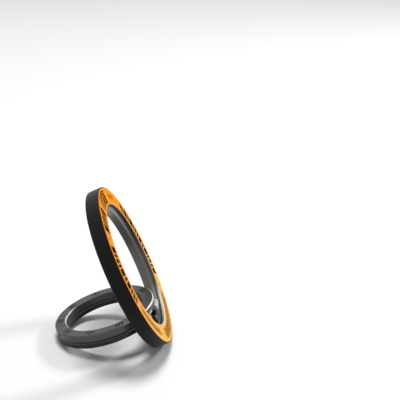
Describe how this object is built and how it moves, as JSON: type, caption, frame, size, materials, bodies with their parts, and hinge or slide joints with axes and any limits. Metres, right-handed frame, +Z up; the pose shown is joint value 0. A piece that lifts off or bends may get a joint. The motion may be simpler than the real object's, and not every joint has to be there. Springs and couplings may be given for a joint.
{
  "type": "phone ring holder",
  "caption": "Round magnetic phone grip and stand: a base ring with a turning inner ring and two hinged finger rings that unfold behind it.",
  "frame": {"origin": "on the surface that the holder stands on, under the middle of its bounding box", "axes": "+Y along both hinge pins, +X towards the side that the printed face leans to, +Z up"},
  "size_m": [0.0402, 0.057, 0.0525],
  "materials": {
    "housing_black": "satin black anodised",
    "face_print": "printed orange under clear lacquer",
    "pad_rubber": "matt",
    "yoke_steel": "plain",
    "bond": "bonding tape",
    "lip_metal": "satin gunmetal",
    "washer_plastic": "moulded black",
    "rotor_metal": "satin gunmetal",
    "hinge_metal": "polished black nickel",
    "ring_metal": "blasted gunmetal",
    "pin_steel": "dark",
    "magnet_plating": "nickel plated"
  },
  "bodies": {
    "base": {"base_housing": "housing_black", "face_plate": "face_print", "retaining_ring": "lip_metal", "phone_pad": "pad_rubber", "shunt_ring": "yoke_steel", "face_adhesive": "bond", "glide_washer_front": "washer_plastic", "glide_washer_rear": "washer_plastic", "magnet_01": "magnet_plating", "magnet_02": "magnet_plating", "magnet_03": "magnet_plating", "magnet_04": "magnet_plating", "magnet_05": "magnet_plating", "magnet_06": "magnet_plating", "magnet_07": "magnet_plating", "magnet_08": "magnet_plating", "magnet_09": "magnet_plating", "magnet_10": "magnet_plating", "magnet_11": "magnet_plating", "magnet_12": "magnet_plating", "magnet_13": "magnet_plating", "magnet_14": "magnet_plating", "magnet_15": "magnet_plating", "magnet_16": "magnet_plating"},
    "rotor": {"rotor_ring": "rotor_metal", "hinge_block": "hinge_metal", "hinge_pin_one": "pin_steel"},
    "ring_one": {"finger_ring_one": "ring_metal", "hinge_washer_one_near": "washer_plastic", "hinge_washer_one_far": "washer_plastic"},
    "ring_two": {"finger_ring_two": "ring_metal", "hinge_pin_two": "pin_steel", "hinge_washer_two_near": "washer_plastic", "hinge_washer_two_far": "washer_plastic"}
  },
  "joints": [
    {"name": "rotor_turn", "type": "hinge", "parent": "base", "child": "rotor", "pos_m": [0.00703, 0, 0.02731], "axis": [0.8865, 0, 0.4626], "continuous": true},
    {"name": "ring_one_swing", "type": "hinge", "parent": "rotor", "child": "ring_one", "pos_m": [0.01329, 0, 0.01186], "axis": [0, 1, 0], "range_deg": [-14.5, 143]},
    {"name": "ring_two_swing", "type": "hinge", "parent": "ring_one", "child": "ring_two", "pos_m": [-0.01788, 0, 0.0039], "axis": [0, -1, 0], "range_deg": [0, 120]}
  ]
}
